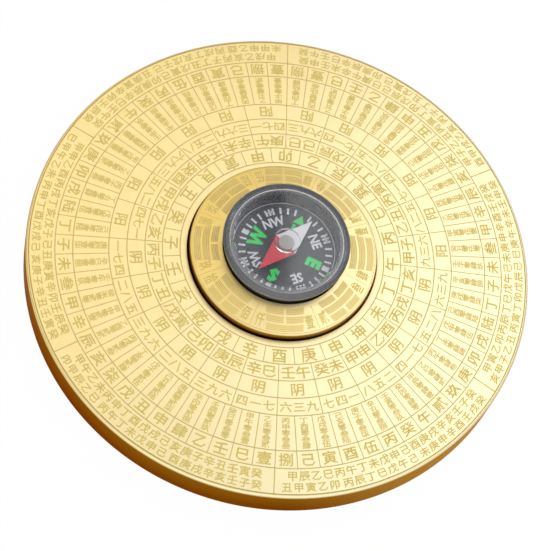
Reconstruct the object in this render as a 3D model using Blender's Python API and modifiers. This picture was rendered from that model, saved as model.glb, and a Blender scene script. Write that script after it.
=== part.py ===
"""Feng shui compass: an etched plate with a turning inner dial and a button compass in it.

Lengths are in metres and +Z is up. The origin is the middle of the felt ring's underside.
The twelve o'clock direction of the plate is +Y.
"""

import math

import bmesh
import bpy
from mathutils import Matrix, Vector

MM = 0.001

# Fits
seat_gap = 0.20 * MM  # between pieces that rest on each other
fine_gap = 0.15 * MM  # the same, inside the button compass
turn_gap = 0.30 * MM  # running gap round the inner dial
cut_overrun = 0.50 * MM  # how far a cutter stands out of what it cuts
weld_distance = 0.01 * MM
crease_deg = 35.0  # sharper edges than this are kept crisp

# Felt ring
pad_thickness = 0.60 * MM
pad_edge_gap = 4.00 * MM  # how far it stays inside the plate's edge
pad_land = 3.00 * MM  # how far it stays outside the cover's ledge

# Plate
plate_radius = 50.0 * MM
plate_thickness = 7.50 * MM  # at its edge
face_bend = 600.0 * MM  # radius of the face's shallow dome
rim_width = 0.50 * MM
rim_height = 0.90 * MM
foot_chamfer = 0.50 * MM
groove_land = 0.15 * MM  # from the rim's round to the middle of the outline groove
groove_width = 0.16 * MM
groove_depth = 0.08 * MM
bore_edge_round = 0.15 * MM

# Inner dial
dial_band = 6.45 * MM  # width of its face, from the pocket to the edge
dial_rise = 1.80 * MM  # its edge, above the plate's face beside it
dial_bend = 120.0 * MM  # radius of its face's dome
dial_edge_round = 0.30 * MM
flange_lap = 3.80 * MM  # how far the flange stands out below the plate
flange_thickness = 1.20 * MM
flange_side_gap = 0.60 * MM
pocket_side_gap = 0.15 * MM
pocket_edge = 0.18 * MM
pocket_floor = 3.00 * MM

# Friction parts and cover
glide_thickness = 0.40 * MM
glide_land = 1.50 * MM  # the glide ring stays this far inside the flange's edge
spring_height = 0.80 * MM
spring_sheet = 0.20 * MM
spring_land = 2.40 * MM  # the spring stays this far inside the flange's edge
spring_width = 5.00 * MM
cover_thickness = 1.20 * MM
cover_lap = 5.00 * MM  # width of the ledge that the cover is screwed to
cover_side_gap = 0.30 * MM
cover_chamfer = 0.20 * MM

# Screws
screw_count = 4
screw_head_radius = 1.70 * MM
screw_head_height = 0.80 * MM
screw_shank_radius = 0.90 * MM
screw_length = 4.00 * MM
screw_slot_width = 0.40 * MM
screw_slot_depth = 0.30 * MM

# Button compass
capsule_radius = 12.50 * MM
capsule_stand = 3.90 * MM  # how far it stands out of the inner dial
capsule_draw = 0.60 * MM  # how much the side draws in towards the dial
foot_wall = 0.70 * MM  # the dome's wall inside the dial
dome_roof = 1.00 * MM
dome_crown = 0.10 * MM  # how much the middle of the roof is higher than its edge
dome_step = 0.12 * MM  # the roof stands this much proud of the shoulder
shoulder_width = 2.00 * MM
shoulder_height = 0.95 * MM
dome_inner_round = 0.35 * MM
boss_wall = 0.60 * MM  # the boss under the roof, round its recess
boss_drop = 0.90 * MM
boss_recess_gap = 0.30 * MM  # the recess is this much wider than the hub
boss_recess_depth = 0.30 * MM
foam_thickness = 0.50 * MM
foam_margin = 0.70 * MM
base_flange_thickness = 0.80 * MM
seal_thickness = 0.40 * MM
seal_margin = 0.12 * MM
cup_wall = 0.55 * MM  # wall of the black base round the card
cup_rise = 2.40 * MM  # its top, above the inner dial
card_depth = 5.10 * MM  # from the capsule's highest point down to the card's face
card_thickness = 0.25 * MM
card_margin = 0.20 * MM
card_hole_gap = 0.40 * MM  # round the pin

# Needle
needle_end_gap = 2.75 * MM  # from its points to the cup's wall
needle_width = 5.20 * MM
needle_sheet = 0.20 * MM
needle_turn_deg = -41.8  # where the white end points, from +Y, clockwise negative
hub_headroom = 0.40 * MM  # between the hub and the boss
hub_lap = 0.50 * MM  # how far its button stands out over the needle
hub_wall = 0.25 * MM  # its neck round the bearing
hub_skirt = 0.15 * MM  # how far its neck reaches below the bearing
hub_round = 0.25 * MM
bearing_radius = 0.70 * MM
bearing_height = 0.60 * MM
bearing_roof = 0.30 * MM  # hub material over the bearing
bearing_cup_radius = 0.40 * MM
bearing_cup_depth = 0.45 * MM
pin_radius = 0.50 * MM
pin_tip_radius = 0.05 * MM
pin_taper = 1.30 * MM
pin_floor = 0.90 * MM  # black plastic below the pin
pin_collar_lap = 0.50 * MM  # how far its collar stands out
pin_collar_height = 0.50 * MM

# Facets
plate_steps = 96
dial_steps = 72
capsule_steps = 64
small_steps = 24
arc_steps = 4
face_steps = 8
wave_count = 3


def sag(radius, bend):
    """How far a dome of a bend radius has dropped at some way from its axis."""
    return bend - math.sqrt(bend * bend - radius * radius)


def dome_points(inner, outer, outer_level, bend):
    """Points of a domed face from its inner radius to its outer one, without the ends."""
    points = []
    for i in range(1, face_steps):
        radius = inner + (outer - inner) * i / face_steps
        points.append((radius, outer_level + sag(outer, bend) - sag(radius, bend)))
    return points


# Radii
capsule_foot_radius = capsule_radius - capsule_draw
cavity_radius = capsule_foot_radius - foot_wall
spigot_radius = cavity_radius - fine_gap
base_flange_radius = capsule_foot_radius - seal_margin
cup_inner_radius = spigot_radius - cup_wall
card_radius = cup_inner_radius - card_margin
card_hole_radius = pin_radius + card_hole_gap
pin_collar_radius = pin_radius + pin_collar_lap
pin_hole_radius = pin_radius + fine_gap
collar_hole_radius = pin_collar_radius + fine_gap
needle_length = 2 * (cup_inner_radius - needle_end_gap)
hub_neck_radius = bearing_radius + fine_gap + hub_wall
hub_radius = hub_neck_radius + hub_lap
boss_recess_radius = hub_radius + boss_recess_gap
boss_radius = boss_recess_radius + boss_wall
pocket_radius = capsule_foot_radius + pocket_side_gap
pocket_edge_radius = pocket_radius + pocket_edge
dial_radius = pocket_radius + dial_band
dial_edge_radius = dial_radius - dial_edge_round
flange_radius = dial_radius + flange_lap
bore_radius = dial_radius + turn_gap
bore_edge_radius = bore_radius + bore_edge_round
glide_outer_radius = flange_radius - glide_land
glide_inner_radius = bore_radius + seat_gap
spring_outer_radius = flange_radius - spring_land
spring_inner_radius = spring_outer_radius - spring_width
recess_radius = flange_radius + flange_side_gap
ledge_radius = recess_radius + cover_lap
cover_radius = ledge_radius - cover_side_gap
screw_ring_radius = recess_radius + (cover_radius - recess_radius) / 2
rim_radius = plate_radius - rim_width
groove_radius = rim_radius - groove_land
groove_inner_radius = groove_radius - groove_width / 2
pad_outer_radius = plate_radius - pad_edge_gap
pad_inner_radius = ledge_radius + pad_land

# Levels
plate_bottom = pad_thickness + seat_gap
rim_top = plate_bottom + plate_thickness
groove_top = rim_top + sag(rim_radius, face_bend) - sag(groove_inner_radius, face_bend)
bore_top = rim_top + sag(rim_radius, face_bend) - sag(bore_edge_radius, face_bend)
cover_bottom = plate_bottom
cover_top = cover_bottom + cover_thickness
ledge_level = cover_top + seat_gap
spring_bottom = cover_top + seat_gap
spring_top = spring_bottom + spring_height
flange_bottom = spring_top + seat_gap
flange_top = flange_bottom + flange_thickness
glide_bottom = flange_top + seat_gap
glide_top = glide_bottom + glide_thickness
shoulder_level = glide_top + seat_gap
dial_edge_top = bore_top + dial_rise
dial_drop = sag(dial_edge_radius, dial_bend) - sag(pocket_edge_radius, dial_bend)
dial_top = dial_edge_top + dial_drop
pocket_level = flange_bottom + pocket_floor
foam_bottom = pocket_level + seat_gap
foam_top = foam_bottom + foam_thickness
base_bottom = foam_top + seat_gap
base_flange_top = base_bottom + base_flange_thickness
seal_bottom = base_flange_top + fine_gap
seal_top = seal_bottom + seal_thickness
dome_bottom = seal_top + fine_gap
capsule_top = dial_top + capsule_stand
roof_middle = capsule_top - dome_roof
card_top = capsule_top - card_depth
card_bottom = card_top - card_thickness
base_top = card_bottom - fine_gap
cup_top = dial_top + cup_rise
shoulder_top = capsule_top - dome_crown - dome_step
shoulder_bottom = shoulder_top - shoulder_height
boss_bottom = roof_middle - boss_drop
hub_top = boss_bottom - hub_headroom
bearing_top = hub_top - bearing_roof - fine_gap
bearing_bottom = bearing_top - bearing_height
hub_bottom = bearing_bottom - hub_skirt
needle_bottom = hub_bottom + fine_gap
needle_top = needle_bottom + needle_sheet
pin_top = bearing_bottom + bearing_cup_depth - fine_gap
pin_bottom = base_bottom + pin_floor


def clear_scene():
    """Remove whatever the scene holds."""
    for obj in list(bpy.data.objects):
        bpy.data.objects.remove(obj, do_unlink=True)


def new_collection(name):
    """Make a collection in the scene."""
    collection = bpy.data.collections.new(name)
    bpy.context.scene.collection.children.link(collection)
    return collection


def finish(name, color, roughness, metallic, alpha=1.0):
    """Make a plain Principled material."""
    material = bpy.data.materials.new(name)
    material.use_nodes = True
    shader = material.node_tree.nodes["Principled BSDF"]
    shader.inputs["Base Color"].default_value = (*color, 1.0)
    shader.inputs["Roughness"].default_value = roughness
    shader.inputs["Metallic"].default_value = metallic
    shader.inputs["Alpha"].default_value = alpha
    return material


def add_object(name, mesh, collection, material):
    """Link a mesh as a named object with a finish."""
    obj = bpy.data.objects.new(name, mesh)
    collection.objects.link(obj)
    if material is not None:
        mesh.materials.append(material)
    return obj


def arc(cx, cz, rx, rz, start_deg, end_deg, steps=arc_steps):
    """Points of an elliptic arc in the profile plane."""
    points = []
    for i in range(steps + 1):
        angle = math.radians(start_deg + (end_deg - start_deg) * i / steps)
        points.append((cx + rx * math.cos(angle), cz + rz * math.sin(angle)))
    return points


def turned(name, profile, steps, collection, material, closed):
    """Turn a profile about +Z. It runs down the outer side, and a closed one up the inner."""
    mesh = bpy.data.meshes.new(name)
    vertices = [(x, 0.0, z) for x, z in profile]
    edges = [(i, i + 1) for i in range(len(profile) - 1)]
    if closed:
        edges.append((len(profile) - 1, 0))
    mesh.from_pydata(vertices, edges, [])
    obj = add_object(name, mesh, collection, material)
    screw = obj.modifiers.new("Turn", "SCREW")
    screw.axis = "Z"
    screw.angle = math.tau
    screw.steps = steps
    screw.render_steps = steps
    screw.use_merge_vertices = True
    screw.merge_threshold = weld_distance
    screw.use_smooth_shade = True
    return obj


def outline(name, loops, bottom, thickness, collection, material):
    """A flat piece from outlines in the XY plane, inner loops being its holes."""
    curve = bpy.data.curves.new(name, "CURVE")
    curve.dimensions = "2D"
    curve.fill_mode = "BOTH"
    curve.extrude = thickness / 2
    for loop in loops:
        spline = curve.splines.new("POLY")
        spline.points.add(len(loop) - 1)
        for point, (x, y) in zip(spline.points, loop):
            point.co = (x, y, 0.0, 1.0)
        spline.use_cyclic_u = True
    shape = bpy.data.objects.new(name + "_curve", curve)
    shape.location.z = bottom + thickness / 2
    collection.objects.link(shape)
    bpy.context.view_layer.update()
    evaluated = shape.evaluated_get(bpy.context.evaluated_depsgraph_get())
    mesh = bpy.data.meshes.new_from_object(evaluated)
    mesh.transform(shape.matrix_world)
    bpy.data.objects.remove(shape, do_unlink=True)
    welded = bmesh.new()
    welded.from_mesh(mesh)
    bmesh.ops.remove_doubles(welded, verts=welded.verts, dist=weld_distance)
    welded.to_mesh(mesh)
    welded.free()
    mesh.materials.clear()
    mesh.name = name
    return add_object(name, mesh, collection, material)


def circle(radius, steps):
    """Points of a circle in the XY plane."""
    return [
        (radius * math.cos(math.tau * i / steps), radius * math.sin(math.tau * i / steps))
        for i in range(steps)
    ]


def screw_places():
    """Centres of the screws in plan, off the X and Y axes."""
    places = []
    for i in range(screw_count):
        angle = math.tau * (i + 0.5) / screw_count
        places.append((screw_ring_radius * math.cos(angle), screw_ring_radius * math.sin(angle)))
    return places


def joined_copies(name, source, places, collection, material):
    """One object that holds a copy of a turned piece at each place."""
    bpy.context.view_layer.update()
    evaluated = source.evaluated_get(bpy.context.evaluated_depsgraph_get())
    single = bpy.data.meshes.new_from_object(evaluated)
    group = bmesh.new()
    for x, y in places:
        start = len(group.verts)
        group.from_mesh(single)
        group.verts.ensure_lookup_table()
        bmesh.ops.translate(group, verts=group.verts[start:], vec=Vector((x, y, 0.0)))
    mesh = bpy.data.meshes.new(name)
    group.to_mesh(mesh)
    group.free()
    bpy.data.meshes.remove(single)
    bpy.data.objects.remove(source, do_unlink=True)
    return add_object(name, mesh, collection, material)


def cut(obj, cutter):
    """Subtract a cutter with an exact Boolean."""
    boolean = obj.modifiers.new("Cut " + cutter.name, "BOOLEAN")
    boolean.operation = "DIFFERENCE"
    boolean.solver = "EXACT"
    boolean.object = cutter
    cutter.hide_render = True
    cutter.display_type = "WIRE"


def shade(obj):
    """Shade round faces smooth and keep the edges crisp."""
    obj.data.shade_smooth()
    obj.data.set_sharp_from_angle(angle=math.radians(crease_deg))


def make_outer_dial(parts, cutters, material):
    """The plate: domed face, rounded rim, outline groove, bore, recess and cover ledge."""
    bore_centre = bore_top - bore_edge_round
    profile = [
        (groove_inner_radius, groove_top),
        (groove_radius - groove_width / 4, groove_top - groove_depth),
        (groove_radius + groove_width / 4, groove_top - groove_depth),
        (groove_radius + groove_width / 2, groove_top),
        *arc(rim_radius, rim_top - rim_height, rim_width, rim_height, 90, 0),
        (plate_radius, plate_bottom + foot_chamfer),
        (plate_radius - foot_chamfer, plate_bottom),
        (ledge_radius, plate_bottom),
        (ledge_radius, ledge_level),
        (recess_radius, ledge_level),
        (recess_radius, shoulder_level),
        (bore_radius, shoulder_level),
        *arc(bore_edge_radius, bore_centre, bore_edge_round, bore_edge_round, 180, 90),
        *dome_points(bore_edge_radius, groove_inner_radius, groove_top, face_bend),
    ]
    plate = turned("outer_dial", profile, plate_steps, parts, material, closed=True)
    hole_radius = screw_shank_radius + fine_gap
    hole_top = cover_bottom + screw_length + seat_gap
    hole_profile = [
        (0.0, hole_top),
        (hole_radius, hole_top),
        (hole_radius, cover_bottom),
        (0.0, cover_bottom),
    ]
    hole = turned("plate_hole", hole_profile, small_steps, cutters, None, closed=False)
    holes = joined_copies("plate_holes", hole, screw_places(), cutters, None)
    cut(plate, holes)
    return plate


def make_inner_dial(parts, material):
    """The turning dial: raised body, flange and the pocket for the button compass."""
    edge_centre = dial_edge_top - dial_edge_round
    profile = [
        (0.0, pocket_level),
        (pocket_radius, pocket_level),
        (pocket_radius, dial_top - pocket_edge),
        (pocket_edge_radius, dial_top),
        *dome_points(pocket_edge_radius, dial_edge_radius, dial_edge_top, dial_bend),
        *arc(dial_edge_radius, edge_centre, dial_edge_round, dial_edge_round, 90, 0),
        (dial_radius, flange_top),
        (flange_radius, flange_top),
        (flange_radius, flange_bottom),
        (0.0, flange_bottom),
    ]
    return turned("inner_dial", profile, dial_steps, parts, material, closed=False)


def make_ring(name, inner, outer, bottom, top, steps, collection, material, bevel=0.0):
    """A flat ring with square or chamfered outer edges."""
    profile = [
        (outer - bevel, top),
        (outer, top - bevel),
        (outer, bottom + bevel),
        (outer - bevel, bottom),
        (inner, bottom),
        (inner, top),
    ]
    if bevel == 0.0:
        profile = [(outer, top), (outer, bottom), (inner, bottom), (inner, top)]
    return turned(name, profile, steps, collection, material, closed=True)


def make_wave_spring(parts, material):
    """A ring of spring sheet whose height follows a wave round its circumference."""
    loops = [circle(spring_outer_radius, dial_steps), circle(spring_inner_radius, dial_steps)]
    middle = (spring_bottom + spring_top) / 2
    spring = outline("wave_spring", loops, middle - spring_sheet / 2, spring_sheet, parts, material)
    swing = (spring_height - spring_sheet) / 2
    for vertex in spring.data.vertices:
        angle = math.atan2(vertex.co.y, vertex.co.x)
        vertex.co.z += swing * math.cos(wave_count * angle)
    return spring


def make_back_cover(parts, cutters, material):
    """The cover disc with its countersunk holes."""
    profile = [
        (0.0, cover_top),
        (cover_radius - cover_chamfer, cover_top),
        (cover_radius, cover_top - cover_chamfer),
        (cover_radius, cover_bottom + cover_chamfer),
        (cover_radius - cover_chamfer, cover_bottom),
        (0.0, cover_bottom),
    ]
    cover = turned("back_cover", profile, dial_steps, parts, material, closed=False)
    shank = screw_shank_radius + fine_gap
    head = screw_head_radius + fine_gap
    sink = screw_head_height + fine_gap
    hole_profile = [
        (0.0, cover_top + cut_overrun),
        (shank, cover_top + cut_overrun),
        (shank, cover_bottom + sink),
        (head, cover_bottom + fine_gap),
        (head, cover_bottom - cut_overrun),
        (0.0, cover_bottom - cut_overrun),
    ]
    hole = turned("cover_hole", hole_profile, small_steps, cutters, None, closed=False)
    holes = joined_copies("cover_holes", hole, screw_places(), cutters, None)
    cut(cover, holes)
    return cover


def make_screws(parts, cutters, material):
    """The cover's countersunk screws, each with a driver slot along its radius."""
    profile = [
        (0.0, cover_bottom + screw_length),
        (screw_shank_radius / 2, cover_bottom + screw_length),
        (screw_shank_radius, cover_bottom + screw_length - screw_shank_radius / 2),
        (screw_shank_radius, cover_bottom + screw_head_height),
        (screw_head_radius, cover_bottom + fine_gap),
        (screw_head_radius, cover_bottom),
        (0.0, cover_bottom),
    ]
    slot_length = 2 * (screw_head_radius + cut_overrun)
    slot_size = Matrix.Diagonal((slot_length, screw_slot_width, 2 * screw_slot_depth, 1.0))
    for number, (x, y) in enumerate(screw_places(), start=1):
        name = f"cover_screw_{number}"
        screw = turned(name, profile, small_steps, parts, material, closed=False)
        box = bmesh.new()
        bmesh.ops.create_cube(box, size=1.0, matrix=slot_size)
        mesh = bpy.data.meshes.new(name + "_slot")
        box.to_mesh(mesh)
        box.free()
        slot = add_object(name + "_slot", mesh, cutters, None)
        screw.location = (x, y, 0.0)
        slot.location = (x, y, cover_bottom)
        screw.rotation_euler.z = math.atan2(y, x)
        slot.rotation_euler.z = math.atan2(y, x)
        cut(screw, slot)


def make_capsule_base(parts, material):
    """The black base: flange, cup round the card, and the stepped hole for the pivot pin."""
    collar_floor = base_top - pin_collar_height - fine_gap
    profile = [
        (0.0, pin_bottom - fine_gap),
        (pin_hole_radius, pin_bottom - fine_gap),
        (pin_hole_radius, collar_floor),
        (collar_hole_radius, collar_floor),
        (collar_hole_radius, base_top),
        (cup_inner_radius, base_top),
        (cup_inner_radius, cup_top),
        (spigot_radius, cup_top),
        (spigot_radius, base_flange_top),
        (base_flange_radius, base_flange_top),
        (base_flange_radius, base_bottom),
        (0.0, base_bottom),
    ]
    return turned("capsule_base", profile, capsule_steps, parts, material, closed=False)


def make_capsule_dome(parts, material):
    """The clear dome: raised roof with a boss below it, sloped shoulder and an open underside."""
    roof_edge = capsule_radius - shoulder_width - dome_step
    outer = []
    for i in range(arc_steps + 1):
        share = i / arc_steps
        outer.append((roof_edge * share, capsule_top - dome_crown * share * share))
    shoulder = arc(
        capsule_radius - shoulder_width,
        shoulder_bottom,
        shoulder_width,
        shoulder_height,
        90,
        0,
        steps=2 * arc_steps,
    )
    inner_edge = cavity_radius - dome_inner_round
    inner_round = arc(
        inner_edge, roof_middle - dome_inner_round, dome_inner_round, dome_inner_round, 0, 90
    )
    profile = [
        *outer,
        *shoulder,
        (capsule_foot_radius, dial_top),
        (capsule_foot_radius, dome_bottom),
        (cavity_radius, dome_bottom),
        *inner_round,
        (boss_radius, roof_middle),
        (boss_radius, boss_bottom),
        (boss_recess_radius, boss_bottom),
        (0.0, boss_bottom + boss_recess_depth),
    ]
    return turned("capsule_dome", profile, capsule_steps, parts, material, closed=False)


def make_pivot_pin(parts, material):
    """The steel pin: shank in the base, collar under the card, and a tapered point."""
    collar_top = base_top - fine_gap
    collar_bottom = collar_top - pin_collar_height + fine_gap
    profile = [
        (0.0, pin_top),
        (pin_tip_radius, pin_top - pin_tip_radius),
        (pin_radius, pin_top - pin_taper),
        (pin_radius, collar_top),
        (pin_collar_radius, collar_top),
        (pin_collar_radius, collar_bottom),
        (pin_radius, collar_bottom),
        (pin_radius, pin_bottom),
        (0.0, pin_bottom),
    ]
    return turned("pivot_pin", profile, small_steps, parts, material, closed=False)


def make_needle(parts, material):
    """The flat lozenge needle with its hub hole, lying along +Y before it is turned."""
    half_length = needle_length / 2
    half_width = needle_width / 2
    lozenge = [(0.0, half_length), (-half_width, 0.0), (0.0, -half_length), (half_width, 0.0)]
    hole = circle(hub_neck_radius + fine_gap, small_steps)
    return outline(
        "compass_needle", [lozenge, hole], needle_bottom, needle_sheet, parts, material
    )


def make_needle_hub(parts, material):
    """The hub: a button over the needle and a neck through it, hollow for the bearing."""
    seat = bearing_radius + fine_gap
    button_bottom = needle_top + fine_gap
    profile = [
        (0.0, hub_top),
        *arc(hub_radius - hub_round, hub_top - hub_round, hub_round, hub_round, 90, 0),
        (hub_radius, button_bottom),
        (hub_neck_radius, button_bottom),
        (hub_neck_radius, hub_bottom),
        (seat, hub_bottom),
        (seat, bearing_top + fine_gap),
        (0.0, bearing_top + fine_gap),
    ]
    return turned("needle_hub", profile, small_steps, parts, material, closed=False)


def make_needle_bearing(parts, material):
    """The cup that runs on the pin's point."""
    profile = [
        (0.0, bearing_top),
        (bearing_radius, bearing_top),
        (bearing_radius, bearing_bottom),
        (bearing_cup_radius, bearing_bottom),
        (0.0, bearing_bottom + bearing_cup_depth),
    ]
    return turned("needle_bearing", profile, small_steps, parts, material, closed=False)


def hang_on_axis(name, pieces, collection, turn_deg=0.0):
    """Parent pieces to an empty on the common axis, turned about it."""
    axis = bpy.data.objects.new(name, None)
    collection.objects.link(axis)
    axis.rotation_euler.z = math.radians(turn_deg)
    for piece in pieces:
        piece.parent = axis
    return axis


def main():
    """Build every piece."""
    clear_scene()
    parts = new_collection("feng_shui_compass")
    cutters = new_collection("cutters")

    gold = finish("Satin gold", (0.90, 0.72, 0.34), 0.34, 0.9)
    dial_gold = finish("Dial gold", (0.86, 0.66, 0.28), 0.34, 0.9)
    nylon = finish("White nylon", (0.85, 0.85, 0.82), 0.5, 0.0)
    spring_steel = finish("Spring steel", (0.62, 0.62, 0.64), 0.3, 1.0)
    cover_metal = finish("Cover gold", (0.78, 0.60, 0.30), 0.4, 0.9)
    screw_steel = finish("Screw steel", (0.70, 0.70, 0.70), 0.3, 1.0)
    felt = finish("Black felt", (0.02, 0.02, 0.02), 0.95, 0.0)
    foam = finish("Grey foam", (0.30, 0.30, 0.30), 0.9, 0.0)
    black_plastic = finish("Black plastic", (0.012, 0.012, 0.014), 0.2, 0.0)
    card_black = finish("Card black", (0.02, 0.022, 0.03), 0.6, 0.0)
    rubber = finish("Seal rubber", (0.03, 0.03, 0.03), 0.8, 0.0)
    acrylic = finish("Clear acrylic", (0.92, 0.94, 0.96), 0.03, 0.0, alpha=0.3)
    needle_paint = finish("Needle paint", (0.90, 0.90, 0.92), 0.35, 0.2)
    pin_steel = finish("Pin steel", (0.75, 0.75, 0.76), 0.2, 1.0)
    hub_white = finish("Hub white", (0.85, 0.85, 0.83), 0.3, 0.0)
    jewel = finish("Bearing brass", (0.80, 0.60, 0.30), 0.25, 1.0)

    make_ring("base_pad", pad_inner_radius, pad_outer_radius, 0.0, pad_thickness,
              plate_steps, parts, felt)
    make_outer_dial(parts, cutters, gold)
    make_back_cover(parts, cutters, cover_metal)
    make_screws(parts, cutters, screw_steel)
    make_wave_spring(parts, spring_steel)
    make_ring("glide_ring", glide_inner_radius, glide_outer_radius, glide_bottom, glide_top,
              dial_steps, parts, nylon)

    on_dial = [
        make_inner_dial(parts, dial_gold),
        outline("capsule_pad", [circle(base_flange_radius - foam_margin, capsule_steps)],
                foam_bottom, foam_thickness, parts, foam),
        make_capsule_base(parts, black_plastic),
        make_ring("capsule_seal", cavity_radius + seal_margin, capsule_foot_radius - seal_margin,
                  seal_bottom, seal_top, capsule_steps, parts, rubber),
        make_capsule_dome(parts, acrylic),
        make_ring("compass_card", card_hole_radius, card_radius, card_bottom, card_top,
                  capsule_steps, parts, card_black),
        make_pivot_pin(parts, pin_steel),
    ]
    hang_on_axis("dial_axis", on_dial, parts)
    on_needle = [
        make_needle(parts, needle_paint),
        make_needle_hub(parts, hub_white),
        make_needle_bearing(parts, jewel),
    ]
    hang_on_axis("needle_axis", on_needle, parts, needle_turn_deg)
    for obj in parts.objects:
        if obj.type == "MESH" and not obj.modifiers:
            shade(obj)


main()
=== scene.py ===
"""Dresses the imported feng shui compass: etched gold dials, printed card, clear button compass.

Every length is in metres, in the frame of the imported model. The plate's twelve o'clock is +Y.
An angle that says nothing else is in degrees, anticlockwise from +X.
"""

import logging
import math
from dataclasses import dataclass, field
from enum import Enum
from functools import cached_property

import bmesh
import bpy
from mathutils import Matrix, Quaternion, Vector


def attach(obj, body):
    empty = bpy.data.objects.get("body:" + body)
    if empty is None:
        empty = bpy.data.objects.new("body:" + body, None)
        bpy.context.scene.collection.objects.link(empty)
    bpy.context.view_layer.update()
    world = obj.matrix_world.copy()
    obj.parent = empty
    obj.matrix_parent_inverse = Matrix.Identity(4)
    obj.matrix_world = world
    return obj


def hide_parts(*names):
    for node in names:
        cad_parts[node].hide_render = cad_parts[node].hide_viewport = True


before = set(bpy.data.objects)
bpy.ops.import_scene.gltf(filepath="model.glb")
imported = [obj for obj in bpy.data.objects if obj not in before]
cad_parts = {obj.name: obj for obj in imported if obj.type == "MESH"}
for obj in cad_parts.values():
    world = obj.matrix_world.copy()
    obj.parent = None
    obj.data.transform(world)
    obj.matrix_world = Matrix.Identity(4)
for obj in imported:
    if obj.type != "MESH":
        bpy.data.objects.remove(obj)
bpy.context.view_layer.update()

MM = 0.001
# A point of a profile that is nearer the axis than this lies on it.
AXIS_REACH = 0.001 * MM
# Edges of a turned mesh that bend more than this stay crisp.
CRISP_DEG = 32.0
# Between these values of a noise a patchy look goes from its start to its end.
PATCH_SPAN = (0.3, 0.7)

Point = tuple[float, float]
Place = tuple[float, float, float]
Colour = tuple[float, float, float]
Solid = tuple[list[Vector], list[list[int]]]

log = logging.getLogger("feng_shui_compass")


class Body(Enum):
    """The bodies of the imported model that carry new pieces."""

    BASE = "base"
    DIAL = "dial"


class Heading(Enum):
    """Which way the top of a character points."""

    INWARD = -1.0
    OUTWARD = 1.0


class Course(Enum):
    """How a ramp rises."""

    SMOOTH = "SMOOTHSTEP"
    EVEN = "LINEAR"


class Value:
    """A number socket of a node tree, with arithmetic that adds Math nodes."""

    def __init__(self, graph: "Graph", socket: bpy.types.NodeSocket) -> None:
        """Wrap a socket."""
        self.graph = graph
        self.socket = socket

    def _math(self, operation: str, first: object, second: object = None) -> "Value":
        """Add a Math node.

        Args:
            operation: The Math node's operation.
            first: A Value or a number.
            second: A Value or a number, or None.

        Returns:
            The node's result.
        """
        links = {0: first} if second is None else {0: first, 1: second}
        node = self.graph.add("ShaderNodeMath", {"operation": operation}, links)
        return Value(self.graph, node.outputs[0])

    def __add__(self, other: object) -> "Value":
        """Add."""
        return self._math("ADD", self, other)

    def __radd__(self, other: object) -> "Value":
        """Add to a number."""
        return self._math("ADD", other, self)

    def __sub__(self, other: object) -> "Value":
        """Subtract."""
        return self._math("SUBTRACT", self, other)

    def __rsub__(self, other: object) -> "Value":
        """Subtract from a number."""
        return self._math("SUBTRACT", other, self)

    def __mul__(self, other: object) -> "Value":
        """Multiply."""
        return self._math("MULTIPLY", self, other)

    def __rmul__(self, other: object) -> "Value":
        """Multiply a number."""
        return self._math("MULTIPLY", other, self)

    def __truediv__(self, other: object) -> "Value":
        """Divide."""
        return self._math("DIVIDE", self, other)

    def __rtruediv__(self, other: object) -> "Value":
        """Divide a number."""
        return self._math("DIVIDE", other, self)

    def root(self) -> "Value":
        """Square root."""
        return self._math("SQRT", self)

    def size(self) -> "Value":
        """The value without its sign."""
        return self._math("ABSOLUTE", self)

    def larger(self, other: object) -> "Value":
        """The larger of two values."""
        return self._math("MAXIMUM", self, other)

    def ramp(
        self,
        low: float,
        high: float,
        start: float = 0.0,
        end: float = 1.0,
        course: Course = Course.SMOOTH,
    ) -> "Value":
        """Map a range.

        Args:
            low: The input that gives start.
            high: The input that gives end.
            start: The output at low and below.
            end: The output at high and above.
            course: How the output rises between them.

        Returns:
            The mapped value.
        """
        node = self.graph.add(
            "ShaderNodeMapRange",
            {"interpolation_type": course.value},
            {"Value": self, "From Min": low, "From Max": high, "To Min": start, "To Max": end},
        )
        return Value(self.graph, node.outputs["Result"])


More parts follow.
